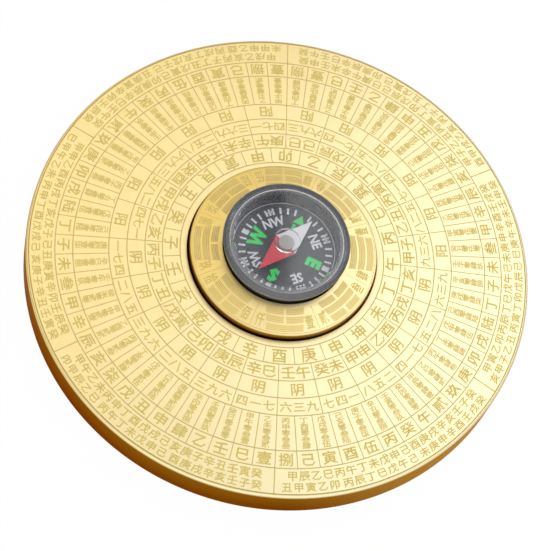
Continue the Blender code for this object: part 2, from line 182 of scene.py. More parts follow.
class Graph:
    """The node tree of a material or of the world, with the shader that it starts with."""

    def __init__(self, owner: bpy.types.Material | bpy.types.World) -> None:
        """Take over a fresh tree.

        Args:
            owner: The material or world.
        """
        owner.use_nodes = True
        self.tree = owner.node_tree
        kinds = ("OUTPUT_MATERIAL", "OUTPUT_WORLD")
        output = next(node for node in self.tree.nodes if node.type in kinds)
        self.surface = output.inputs["Surface"]
        self.shader = self.surface.links[0].from_node

    def add(self, kind: str, settings: dict, inputs: dict) -> bpy.types.Node:
        """Add a node.

        Args:
            kind: The node's type.
            settings: Its properties, which are set first.
            inputs: Values or links of its sockets, by name or number.

        Returns:
            The node.
        """
        node = self.tree.nodes.new(kind)
        for name, value in settings.items():
            setattr(node, name, value)
        for name, value in inputs.items():
            self.feed(node.inputs[name], value)
        return node

    def feed(self, socket: bpy.types.NodeSocket, value: object) -> None:
        """Link or set a socket.

        Args:
            socket: The socket.
            value: A Value or socket to link, or a number, colour or vector to set.
        """
        if isinstance(value, Value):
            value = value.socket
        if isinstance(value, bpy.types.NodeSocket):
            self.tree.links.new(value, socket)
        elif isinstance(value, tuple) and len(value) == 3 and socket.type == "RGBA":
            socket.default_value = (*value, 1.0)
        else:
            socket.default_value = value

    def shade(self, inputs: dict) -> None:
        """Feed sockets of the tree's first shader."""
        for name, value in inputs.items():
            self.feed(self.shader.inputs[name], value)

    def cover(self, share: Value, kind: str, inputs: dict) -> None:
        """Mix a second shader over the first one.

        Args:
            share: The second shader's share.
            kind: Its node's type.
            inputs: Values or links of its sockets.
        """
        second = self.add(kind, {}, inputs)
        shaders = {0: share, 1: self.shader.outputs[0], 2: second.outputs[0]}
        self.feed(self.surface, self.add("ShaderNodeMixShader", {}, shaders).outputs[0])

    def split(self, point: bpy.types.NodeSocket) -> list[Value]:
        """A point by axis."""
        node = self.add("ShaderNodeSeparateXYZ", {}, {0: point})
        return [Value(self, socket) for socket in node.outputs]

    @cached_property
    def point(self) -> bpy.types.NodeSocket:
        """The shaded point in the object's own frame."""
        return self.add("ShaderNodeTexCoord", {}, {}).outputs["Object"]

    @cached_property
    def axes(self) -> list[Value]:
        """The shaded point by axis."""
        return self.split(self.point)

    @cached_property
    def radius(self) -> Value:
        """How far the shaded point lies from the object's axis."""
        x, y, _ = self.axes
        return (x * x + y * y).root()

    def noise(self, scale: float, detail: float = 3.0, stretch: Place | None = None) -> Value:
        """Add noise from 0 to 1.

        Args:
            scale: Features to the metre.
            detail: Number of finer layers.
            stretch: Factors by axis that turn its spots into streaks.

        Returns:
            The noise.
        """
        point = self.point
        if stretch:
            factors = {0: point, 1: stretch}
            node = self.add("ShaderNodeVectorMath", {"operation": "MULTIPLY"}, factors)
            point = node.outputs[0]
        inputs = {"Vector": point, "Scale": scale, "Detail": detail}
        return Value(self, self.add("ShaderNodeTexNoise", {}, inputs).outputs[0])

    def patches(self, scale: float, start: float = 0.0, end: float = 1.0) -> Value:
        """Soft patches that go from start to end."""
        return self.noise(scale).ramp(*PATCH_SPAN, start, end)

    def rays(self, *kinds: str) -> Value:
        """Tell rays apart.

        Args:
            kinds: Kinds of ray, such as Camera.

        Returns:
            One for rays of these kinds and nought for others.
        """
        outputs = self.add("ShaderNodeLightPath", {}, {}).outputs
        seen, *others = (Value(self, outputs[f"Is {kind} Ray"]) for kind in kinds)
        for other in others:
            seen = seen.larger(other)
        return seen

    def blend(self, share: object, first: object, second: object) -> bpy.types.NodeSocket:
        """Blend two colours by a share of the second."""
        inputs = {"Factor": share, 6: first, 7: second}
        return self.add("ShaderNodeMix", {"data_type": "RGBA"}, inputs).outputs[2]

    def bump(self, height: Value, depth: float) -> bpy.types.NodeSocket:
        """A normal from a height of 0 to 1 that stands for so many metres."""
        inputs = {"Height": height, "Distance": depth, "Strength": 1.0}
        return self.add("ShaderNodeBump", {}, inputs).outputs["Normal"]


@dataclass(frozen=True)
class Finish:
    """A finish whose colour, gloss and grain wander a little over the surface.

    Mottle, grain and the sheen's wander are in features to the metre, and gloss is the range of
    roughness. Where pale is given, the colour goes over to it along a heading, from one
    side of the axis to the other: a painted sheen, paler where the light falls more.
    """

    name: str
    slot: str
    light: Colour
    dark: Colour
    gloss: Point
    metal: float = 0.0
    mottle: float = 300.0
    gloss_fineness: float = 3.0
    grain: float = 6000.0
    grain_detail: float = 2.0
    grain_depth: float = 0.004 * MM
    pale: Colour | None = None
    pale_heading: Point = (0.90, -0.42)
    pale_reach: float = 48.0 * MM
    pale_span: Point = (-0.85, 1.15)
    pale_wander: float = 25.0
    pale_wander_share: float = 0.3

    @classmethod
    def own(cls, slot: str, *colours_and_gloss: tuple, **more: object) -> "Finish":
        """A finish that has its slot's name."""
        return cls(slot, slot, *colours_and_gloss, **more)

    def tint(self, graph: Graph) -> bpy.types.NodeSocket:
        """Colour the surface, with painted sheen paler towards one side where that is given.

        Args:
            graph: The material's nodes.

        Returns:
            The colour.
        """
        tint = graph.blend(graph.patches(self.mottle), self.light, self.dark)
        if self.pale is None:
            return tint
        x, y, _ = graph.axes
        # Painted sheen: paler towards the side where the light falls more.
        along = x * self.pale_heading[0] + y * self.pale_heading[1]
        wander = graph.noise(self.pale_wander) * self.pale_wander_share
        painted_light_share = (along / self.pale_reach + wander).ramp(*self.pale_span)
        return graph.blend(painted_light_share, tint, self.pale)

    def sockets(self, graph: Graph) -> dict[str, object]:
        """Work out what the shader's sockets get.

        Args:
            graph: The material's nodes.

        Returns:
            Values or links, by socket.
        """
        grain = graph.noise(self.grain, self.grain_detail)
        return {
            "Base Color": self.tint(graph),
            "Roughness": graph.patches(self.mottle * self.gloss_fineness, *self.gloss),
            "Metallic": self.metal,
            "Normal": graph.bump(grain, self.grain_depth),
        }

    def material(self) -> bpy.types.Material:
        """Build the material.

        Returns:
            The material.
        """
        material = bpy.data.materials.new(self.name)
        graph = Graph(material)
        graph.shade(self.sockets(graph))
        return material


@dataclass(frozen=True)
class GoldPlate(Finish):
    """Gold plating: a satin face, and a browner side wall that shows turning marks.

    Turning holds the scale and detail of these marks, and groove the radius and the half width of
    the etched border line. The wall's brown is painted shade that darkens towards its foot, and it
    goes paler towards +X as painted light.
    """

    wall_light: Colour = (0.30, 0.155, 0.022)
    wall_dark: Colour = (0.18, 0.075, 0.008)
    wall_pale: Colour = (0.60, 0.42, 0.18)
    wall_pale_reach: float = 0.85
    wall_radius: float = 49.6 * MM
    wall_top: float = 7.6 * MM
    wall_bottom: float = 0.8 * MM
    wall_fade: Point = (0.25 * MM, 0.5 * MM)
    edge_tint: Colour = (0.60, 0.30, 0.05)
    turning: Point = (900.0, 4.0)
    turning_stretch: Place = (0.15, 0.15, 6.0)
    turning_span: Point = (0.35, 0.65)
    turning_share: float = 0.3
    etched: Colour = (0.52, 0.40, 0.13)
    groove: Point = (49.35 * MM, 0.11 * MM)
    groove_fade: float = 1.3

    def tint(self, graph: Graph) -> bpy.types.NodeSocket:
        """Colour the face, its groove, and the side wall in painted shade and painted light.

        Args:
            graph: The material's nodes.

        Returns:
            The colour.
        """
        x, _, z = graph.axes
        turning = graph.noise(*self.turning, self.turning_stretch).ramp(*self.turning_span)
        # Painted shade: the side wall darkens towards its foot, with turning marks over it.
        height = z.ramp(self.wall_bottom, self.wall_top)
        share = height * (1.0 - self.turning_share) + turning * self.turning_share
        wall = graph.blend(share, self.wall_dark, self.wall_light)
        # Painted light: the side wall goes paler towards +X.
        painted_light_share = x.ramp(0.0, self.wall_pale_reach * self.wall_radius)
        wall = graph.blend(painted_light_share, wall, self.wall_pale)
        middle, half = self.groove
        off_groove = (graph.radius - middle).size().ramp(half, self.groove_fade * half)
        face = graph.blend(off_groove, self.etched, super().tint(graph))
        return graph.blend(self.side(graph), face, wall)

    def side(self, graph: Graph) -> Value:
        """Tell the side wall from the face.

        Args:
            graph: The material's nodes.

        Returns:
            One on the side wall and nought on the face.
        """
        aside, above = self.wall_fade
        outside = graph.radius.ramp(self.wall_radius - aside, self.wall_radius)
        return outside * graph.axes[2].ramp(self.wall_top, self.wall_top + above, 1.0, 0.0)

    def sockets(self, graph: Graph) -> dict[str, object]:
        """Add bare metal on the wall, and a warm tint where light grazes it.

        Args:
            graph: The material's nodes.

        Returns:
            Values or links, by socket.
        """
        metal = self.side(graph).ramp(0.0, 1.0, self.metal, 1.0)
        return super().sockets(graph) | {"Specular Tint": self.edge_tint, "Metallic": metal}


@dataclass(frozen=True)
class TwoTonePaint(Finish):
    """Needle paint: the half that the needle's heading points to is light, the other is red."""

    red: Colour = (0.98, 0.03, 0.07)
    red_shade: float = 0.8
    turn_deg: float = 0.0
    seam: float = 0.05 * MM

    def tint(self, graph: Graph) -> bpy.types.NodeSocket:
        """Colour the two halves.

        Args:
            graph: The material's nodes.

        Returns:
            The colour.
        """
        x, y, _ = graph.axes
        turn = math.radians(self.turn_deg)
        along = x * -math.sin(turn) + y * math.cos(turn)
        shade = tuple(self.red_shade * part for part in self.red)
        red = graph.blend(graph.patches(self.mottle), self.red, shade)
        return graph.blend(along.ramp(-self.seam, self.seam), red, super().tint(graph))


@dataclass(frozen=True)
class ClearAcrylic:
    """Clear acrylic, faintly hazy, with painted sheen in its shoulder and near black at its foot.
    """

    name: str = "clear_acrylic"
    slot: str = "clear_acrylic"
    colour: Colour = (0.985, 0.99, 1.0)
    bend: float = 1.49
    haze: Point = (0.08, 0.12)
    haze_scale: float = 250.0
    haze_span: Point = (0.4, 0.8)
    milk: Colour = (0.60, 0.62, 0.68)
    milk_share: float = 0.13
    milk_radius: Point = (10.2 * MM, 10.8 * MM)
    milk_level: Point = (13.2 * MM, 14.2 * MM)
    smoke: Colour = (0.012, 0.012, 0.014)
    smoke_share: float = 0.85
    smoke_radius: Point = (11.4 * MM, 11.7 * MM)
    smoke_level: Point = (13.9 * MM, 15.3 * MM)

    def material(self) -> bpy.types.Material:
        """Build the material.

        Returns:
            The material.
        """
        material = bpy.data.materials.new(self.name)
        graph = Graph(material)
        graph.shade(
            {
                "Base Color": self.colour,
                "Roughness": graph.noise(self.haze_scale).ramp(*self.haze_span, *self.haze),
                "IOR": self.bend,
                "Transmission Weight": 1.0,
            }
        )
        level = graph.axes[2]
        # Near black towards the foot of the dome's wall.
        foot_darkness = graph.radius.ramp(*self.smoke_radius) * level.ramp(*self.smoke_level, 1.0, 0.0)
        # Painted sheen: a matt grey share in the shoulder stands for its reflections.
        shoulder_sheen = graph.radius.ramp(*self.milk_radius) * level.ramp(*self.milk_level)
        share = (shoulder_sheen * self.milk_share).larger(foot_darkness * self.smoke_share)
        tint = graph.blend(foot_darkness, self.milk, self.smoke)
        matt = {"Base Color": tint, "Roughness": 1.0, "Specular IOR Level": 0.0}
        graph.cover(share, "ShaderNodeBsdfPrincipled", matt)
        return material


class Finishes:
    """The object's finishes, each made into a material once."""

    def __init__(self) -> None:
        """Name every finish."""
        own = Finish.own
        etched = {"gloss": (0.55, 0.65), "metal": 0.3, "mottle": 500.0}
        dial_reach = 18.0 * MM
        # The pale colours of the plate, dial, bars and hatching are painted sheen.
        self.plate = GoldPlate(
            "plate_gold",
            "satin_gold",
            (0.83, 0.66, 0.295),
            (0.81, 0.63, 0.27),
            (0.36, 0.42),
            metal=0.85,
            pale=(0.82, 0.735, 0.46),
        )
        self.dial = GoldPlate.own(
            "dial_gold",
            (0.75, 0.54, 0.17),
            (0.72, 0.51, 0.15),
            (0.34, 0.40),
            metal=0.85,
            pale=(0.83, 0.70, 0.37),
            pale_reach=dial_reach,
            wall_radius=18.45 * MM,
            wall_top=11.4 * MM,
            wall_bottom=9.8 * MM,
            # Painted shade on the dial's side wall: brown above, near black at its foot.
            wall_light=(0.34, 0.20, 0.05),
            wall_dark=(0.06, 0.03, 0.006),
        )
        self.marks = Finish(
            "etched_marks", "satin_gold", (0.61, 0.475, 0.13), (0.56, 0.43, 0.11), **etched
        )
        self.lines = Finish(
            "etched_lines", "satin_gold", (0.52, 0.41, 0.135), (0.47, 0.365, 0.115), **etched
        )
        self.bars = Finish(
            "trigram_gold",
            "dial_gold",
            (0.70, 0.52, 0.16),
            (0.65, 0.475, 0.14),
            pale=(0.79, 0.62, 0.25),
            pale_reach=dial_reach,
            **etched,
        )
        self.hatch = Finish(
            "trigram_hatch",
            "dial_gold",
            (0.55, 0.40, 0.11),
            (0.50, 0.36, 0.095),
            pale=(0.66, 0.51, 0.19),
            pale_reach=dial_reach,
            **etched,
        )
        self.acrylic = ClearAcrylic()
        self.cup = own("black_plastic", (0.012, 0.012, 0.014), (0.02, 0.02, 0.022), (0.15, 0.3))
        self.card = own("card_black", (0.028, 0.03, 0.042), (0.036, 0.038, 0.052), (0.45, 0.6))
        self.white_ink = Finish(
            "white_ink", "card_black", (0.97, 0.98, 1.0), (0.90, 0.93, 1.0), (0.5, 0.6)
        )
        self.green_ink = Finish(
            "green_ink", "card_black", (0.01, 0.98, 0.17), (0.01, 0.85, 0.13), (0.5, 0.6)
        )
        self.needle = TwoTonePaint.own(
            "needle_paint",
            (0.97, 0.96, 0.98),
            (0.92, 0.91, 0.94),
            (0.3, 0.4),
            turn_deg=ButtonNeedle.turn_deg,
        )
        self.hub = own("hub_white", (0.50, 0.46, 0.43), (0.42, 0.39, 0.37), (0.15, 0.25))
        self.steel = own(
            "screw_steel", (0.68, 0.68, 0.69), (0.60, 0.60, 0.61), (0.25, 0.35), metal=1.0
        )
        self.pin = own("pin_steel", (0.74, 0.74, 0.75), (0.66, 0.66, 0.67), (0.15, 0.25), metal=1.0)
        self.spring = own(
            "spring_steel", (0.55, 0.56, 0.58), (0.45, 0.46, 0.5), (0.25, 0.4), metal=1.0
        )
        self.cover = own(
            "cover_gold", (0.80, 0.62, 0.30), (0.74, 0.56, 0.26), (0.38, 0.46), metal=0.9
        )
        self.bearing = own(
            "bearing_brass", (0.80, 0.58, 0.26), (0.7, 0.5, 0.2), (0.2, 0.3), metal=1.0
        )
        self.nylon = own("white_nylon", (0.82, 0.82, 0.78), (0.76, 0.76, 0.72), (0.45, 0.55))
        self.felt = own(
            "black_felt",
            (0.012, 0.012, 0.013),
            (0.03, 0.03, 0.032),
            (0.9, 1.0),
            mottle=2500.0,
            grain=9000.0,
            grain_depth=0.08 * MM,
        )
        self.foam = own(
            "grey_foam",
            (0.28, 0.28, 0.28),
            (0.2, 0.2, 0.2),
            (0.85, 0.95),
            mottle=3000.0,
            grain=5000.0,
            grain_depth=0.05 * MM,
        )
        self.rubber = own("seal_rubber", (0.02, 0.02, 0.02), (0.03, 0.03, 0.03), (0.6, 0.75))
        self._made: dict[str, bpy.types.Material] = {}

    def of(self, finish: Finish | ClearAcrylic) -> bpy.types.Material:
        """Look a material up, and build it at its first use.

        Args:
            finish: The finish.

        Returns:
            Its material.
        """
        if finish.name not in self._made:
            self._made[finish.name] = finish.material()
        return self._made[finish.name]


def arc(
    cx: float, cz: float, rx: float, rz: float, start: float, end: float, steps: int
) -> list[Point]:
    """Points of an elliptic arc in a profile.

    Args:
        cx: Radius of the arc's centre.
        cz: Level of the arc's centre.
        rx: Half width.
        rz: Half height.
        start: First angle in degrees, counted from the outward direction.
        end: Last angle in degrees.
        steps: Number of chords.

    Returns:
        Radius and level of each point.
    """
    turns = [math.radians(start + (end - start) * i / steps) for i in range(steps + 1)]
    return [(cx + rx * math.cos(t), cz + rz * math.sin(t)) for t in turns]


def around(number: float, count: int) -> float:
    """Degrees to a place where so many places make a full turn."""
    return 360.0 * number / count


def circle(radius: float, turns: list[float]) -> list[Point]:
    """Points round the axis, at angles in radians."""
    return [(radius * math.cos(turn), radius * math.sin(turn)) for turn in turns]


def beside(angle: float, along: float, aside: float) -> Point:
    """A point near a radius.

    Args:
        angle: The radius's direction in degrees.
        along: How far the point lies along it.
        aside: How far the point lies beside it, anticlockwise.

    Returns:
        The point.
    """
    turn = math.radians(angle)
    ux, uy = math.cos(turn), math.sin(turn)
    return (along * ux - aside * uy, along * uy + aside * ux)


def turned(profile: list[Point], steps: int, closed: bool) -> bpy.types.Mesh:
    """Turn a profile about +Z into a closed mesh.

    Args:
        profile: Radius and level, down the outer side.
        steps: Facets round the axis.
        closed: True where the profile is a loop that keeps off the axis.

    Returns:
        The mesh, smooth with crisp edges.
    """
    grid = bmesh.new()
    turns = [math.tau * i / steps for i in range(steps)]
    rows = []
    for radius, level in profile:
        if radius < AXIS_REACH:
            rows.append([grid.verts.new((0.0, 0.0, level))] * steps)
        else:
            rows.append([grid.verts.new((x, y, level)) for x, y in circle(radius, turns)])
    pairs = list(zip(rows, rows[1:]))
    if closed:
        pairs.append((rows[-1], rows[0]))
    for upper, lower in pairs:
        for i in range(steps):
            j = (i + 1) % steps
            corners = list(dict.fromkeys((upper[i], lower[i], lower[j], upper[j])))
            if len(corners) > 2:
                grid.faces.new(corners)
    mesh = bpy.data.meshes.new("turned")
    grid.to_mesh(mesh)
    grid.free()
    mesh.shade_smooth()
    mesh.set_sharp_from_angle(angle=math.radians(CRISP_DEG))
    return mesh


@dataclass(frozen=True)
class Face:
    """A flat or shallow domed face about the axis.

    The slack is eight times the gap that may open under a straight slab on a domed face.
    """

    edge: float
    top: float
    bend: float = 0.0
    slack: float = 0.016 * MM

    @property
    def stride(self) -> float:
        """How long a straight slab may be before it leaves the face."""
        return math.sqrt(self.slack * self.bend) if self.bend else math.inf

    def level(self, radius: float) -> float:
        """Work out the face's level, from the one at its edge.

        Args:
            radius: How far from the axis.

        Returns:
            The level there.
        """
        if not self.bend:
            return self.top
        square = self.bend * self.bend
        rise = math.sqrt(square - radius * radius)
        return self.top + rise - math.sqrt(square - self.edge * self.edge)

    def points(self, inner: float, outer: float, steps: int) -> list[Point]:
        """Points of its profile between two radii, without the ends."""
        radii = [inner + (outer - inner) * i / steps for i in range(1, steps)]
        return [(radius, self.level(radius)) for radius in radii]


class Workshop:
    """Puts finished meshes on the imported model's bodies."""

    def __init__(self) -> None:
        """Make the finishes."""
        self.finishes = Finishes()
        self.count = 0

    def piece(
        self,
        name: str,
        mesh: bpy.types.Mesh,
        finish: Finish | ClearAcrylic,
        body: Body,
        *replaced: str,
    ) -> None:
        """Add a piece of the object.

        Args:
            name: The piece's name.
            mesh: Its mesh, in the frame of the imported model.
            finish: Its finish.
            body: The body that it rides on.
            replaced: Nodes that it stands for.
        """
        mesh.name = name
        mesh.materials.clear()
        mesh.materials.append(self.finishes.of(finish))
        obj = bpy.data.objects.new(name, mesh)
        bpy.context.scene.collection.objects.link(obj)
        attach(obj, body.value)
        if replaced:
            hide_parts(*replaced)
        self.count += 1
        log.info("%s: %d faces on %s", name, len(mesh.polygons), body.value)

    def dress(self, finish: Finish, *nodes: str) -> None:
        """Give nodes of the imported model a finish.

        Args:
            finish: The finish.
            nodes: Their names.
        """
        for node in nodes:
            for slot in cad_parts[node].material_slots:
                slot.material = self.finishes.of(finish)
            self.count += 1
            log.info("%s: dressed in %s", node, finish.name)


@dataclass(frozen=True)
class Lettering:
    """How characters are cut.

    Size is the width and height of a full square, weight how much strokes grow in shares of it,
    and pitch the way between neighbours along a ring.
    """

    size: Point
    weight: float = 0.014
    pitch: float = 0.0
    heading: Heading = Heading.INWARD


class GlyphPress:
    """Cuts characters as closed slabs of unit height, from squares of unit size."""

    # Characters whose plain outline fills badly, with the offset that mends it.
    mended = {"卯": 0.006}
    # Middle of a square character.
    middle: Point = (0.5, 0.38)
    # Points nearer than this become one.
    weld = 0.0005
    # The slab reaches this far below and above the page.
    half_height = 0.5
    # Faces whose normal points up or down by less than this are walls.
    wall_lean = 0.5
    # A point stays where the normals of its walls add up to less than this.
    least_way = 0.1
    # A sharp corner moves by the weight over this at most.
    least_lean = 0.6

    def __init__(self) -> None:
        """Start with no characters."""
        self.cut: dict[tuple[str, float], Solid] = {}

    def growth(self, vertex: bmesh.types.BMVert, weight: float) -> Vector:
        """Work out how a point of an outline moves so that its strokes grow.

        Args:
            vertex: The point.
            weight: How much the strokes grow.

        Returns:
            Its move across the page.
        """
        faces = vertex.link_faces
        walls = [face.normal.xy for face in faces if abs(face.normal.z) < self.wall_lean]
        total = sum(walls, Vector((0.0, 0.0)))
        if total.length < self.least_way:
            return Vector((0.0, 0.0))
        way = total.normalized()
        lean = max(self.least_lean, sum(way.dot(wall) for wall in walls) / len(walls))
        return way * (weight / lean)

    def outline(self, character: str) -> bmesh.types.BMesh:
        """Fill a character's outline as a slab.

        Args:
            character: The character.

        Returns:
            The welded slab, to be freed by the caller.
        """
        curve = bpy.data.curves.new("character", "FONT")
        curve.body = character
        curve.resolution_u = 1
        curve.extrude = self.half_height
        curve.offset = self.mended.get(character, 0.0)
        holder = bpy.data.objects.new("character", curve)
        bpy.context.scene.collection.objects.link(holder)
        bpy.context.view_layer.update()
        evaluated = holder.evaluated_get(bpy.context.evaluated_depsgraph_get())
        mesh = bpy.data.meshes.new_from_object(evaluated)
        slab = bmesh.new()
        slab.from_mesh(mesh)
        bpy.data.objects.remove(holder, do_unlink=True)
        bpy.data.meshes.remove(mesh)
        bmesh.ops.remove_doubles(slab, verts=slab.verts, dist=self.weld)
        slab.normal_update()
        return slab

    def shape(self, character: str, weight: float) -> Solid:
        """Cut a character, centred on its box.

        Args:
            character: The character, or a word in Latin letters.
            weight: How much its strokes grow, in shares of its size.

        Returns:
            Points with heights of 0 or 1, and faces as point numbers.
        """
        key = (character, weight)
        if key in self.cut:
            return self.cut[key]
        slab = self.outline(character)
        moves = [self.growth(vertex, weight) for vertex in slab.verts]
        for vertex, move in zip(slab.verts, moves):
            vertex.co.xy += move
        slab.verts.index_update()
        middle = self.middle
        if character.isascii():
            reach = [[vertex.co[i] for vertex in slab.verts] for i in range(2)]
            middle = tuple((min(side) + max(side)) / 2 for side in reach)
        across, down, up = -middle[0], -middle[1], self.half_height
        spots = (vertex.co for vertex in slab.verts)
        points = [Vector((co.x + across, co.y + down, co.z + up)) for co in spots]
        faces = [[vertex.index for vertex in face.verts] for face in slab.faces]
        slab.free()
        self.cut[key] = (points, faces)
        return self.cut[key]


class Relief:
    """Low closed slabs that follow a face, gathered into one mesh."""

    press = GlyphPress()

    def __init__(self, face: Face, rise: float, sunk: float = 0.01 * MM) -> None:
        """Start empty.

        Args:
            face: The face that carries the slabs.
            rise: How far they stand out of it.
            sunk: How far they reach into it.
        """
        self.face = face
        self.low = -sunk
        self.high = rise
        self.points: list[Place] = []
        self.faces: list[list[int]] = []

    def put(self, x: float, y: float, height: float) -> None:
        """Add a point at a height over the face."""
        self.points.append((x, y, self.face.level(math.hypot(x, y)) + height))

    def slide(self, shift: Point) -> None:
        """Move what is there along a flat face."""
        self.points = [(x + shift[0], y + shift[1], z) for x, y, z in self.points]

    def strip(self, inner: list[Point], outer: list[Point], whole: bool = False) -> None:
        """Add a slab between two outlines with as many points each.

        Args:
            inner: Points nearer the axis, anticlockwise.
            outer: Points further out, anticlockwise.
            whole: True where the outlines close on themselves.
        """
        start = len(self.points)
        count = len(inner)
        up = 2 * count
        for height in (self.low, self.high):
            for x, y in (*inner, *outer):
                self.put(x, y, height)
        for i in range(count if whole else count - 1):
            j = (i + 1) % count
            a, b, c, d = (start + k for k in (i, j, count + j, count + i))
            self.faces.append([a + up, d + up, c + up, b + up])
            self.faces.append([a, b, c, d])
            self.faces.append([a, a + up, b + up, b])
            self.faces.append([d, c, c + up, d + up])
        if not whole:
            a, d = start, start + count
            self.faces.append([a, d, d + up, a + up])
            a, d = start + count - 1, start + up - 1
            self.faces.append([a + up, d + up, d, a])

    def band(self, r0: float, r1: float, a0: float, a1: float, steps: int) -> None:
        """Add a slab between two radii and two angles in degrees."""
        turns = [math.radians(a0 + (a1 - a0) * i / steps) for i in range(steps + 1)]
        self.strip(circle(r0, turns), circle(r1, turns))

    def ring(self, radius: float, width: float, steps: int = 288) -> None:
        """Add a full ring.

        Args:
            radius: Middle of its width.
            width: Its width.
            steps: Straight stretches round it.
        """
        turns = [math.tau * i / steps for i in range(steps)]
        inner, outer = (circle(radius + side * width / 2, turns) for side in (-1, 1))
        self.strip(inner, outer, whole=True)

    def spoke(self, angle: float, r0: float, r1: float, width: float) -> None:
        """Add a straight bar along a radius.

        Args:
            angle: Its direction in degrees.
            r0: Inner end.
            r1: Outer end.
            width: Its width.
        """
        steps = max(1, math.ceil((r1 - r0) / self.face.stride))
        radii = [r1 + (r0 - r1) * i / steps for i in range(steps + 1)]
        low, high = ([beside(angle, r, side * width / 2) for r in radii] for side in (-1, 1))
        self.strip(low, high)

    def glyph(self, character: str, radius: float, angle: float, cut: Lettering) -> None:
        """Add a character.

        Args:
            character: One character, or a word in Latin letters.
            radius: Where its middle lies.
            angle: Its direction in degrees.
            cut: How it is cut.
        """
        points, faces = self.press.shape(character, cut.weight)
        turn = math.radians(angle)
        out = Vector((math.cos(turn), math.sin(turn)))
        up = out * cut.heading.value
        across = Vector((up.y, -up.x))
        middle = out * radius
        start = len(self.points)
        for p in points:
            at = middle + across * (p.x * cut.size[0]) + up * (p.y * cut.size[1])
            self.put(at.x, at.y, self.low + p.z * (self.high - self.low))
        self.faces += [[start + i for i in face] for face in faces]

    def row(self, text: str, radius: float, angle: float, cut: Lettering) -> None:
        """Set characters side by side along a ring.

        Args:
            text: The characters, anticlockwise.
            radius: The ring's radius.
            angle: Middle of the row in degrees.
            cut: How they are cut, with their pitch.
        """
        step = math.degrees(cut.pitch / radius)
        for i, character in enumerate(text):
            self.glyph(character, radius, angle + (i - (len(text) - 1) / 2) * step, cut)

    def mesh(self) -> bpy.types.Mesh:
        """Gather the slabs.

        Returns:
            The slabs as one mesh.
        """
        mesh = bpy.data.meshes.new("relief")
        mesh.from_pydata(self.points, [], self.faces)
        mesh.validate()
        return mesh


class Counting:
    """Traditional counting characters."""

    stems = "甲乙丙丁戊己庚辛壬癸"
    branches = "子丑寅卯辰巳午未申酉戌亥"
    formal = "零壹贰叁肆伍陆柒捌玖"

    def pair(self, number: int) -> str:
        """The pair of a place in the cycle of sixty, from 0."""
        stem = self.stems[number % len(self.stems)]
        return stem + self.branches[number % len(self.branches)]

    def digits(self, number: int, places: int) -> str:
        """A number in formal numerals with leading zeros."""
        return "".join(self.formal[int(d)] for d in str(number).zfill(places))


@dataclass(frozen=True)
class SectorRow:
    """A row of characters along one of the six outer sectors.

    First, step and gap are in degrees. After each character numbered in breaks the row leaves a
    gap.
    """

    radius: float
    count: int
    first: float
    step: float
    cut: Lettering
    breaks: tuple[int, ...] = ()
    gap: float = 0.45

    def angle(self, start: float, number: int) -> float:
        """Where a character stands, from the sector's start."""
        gaps = sum(number > k for k in self.breaks)
        return start + self.first + self.step * number + self.gap * gaps


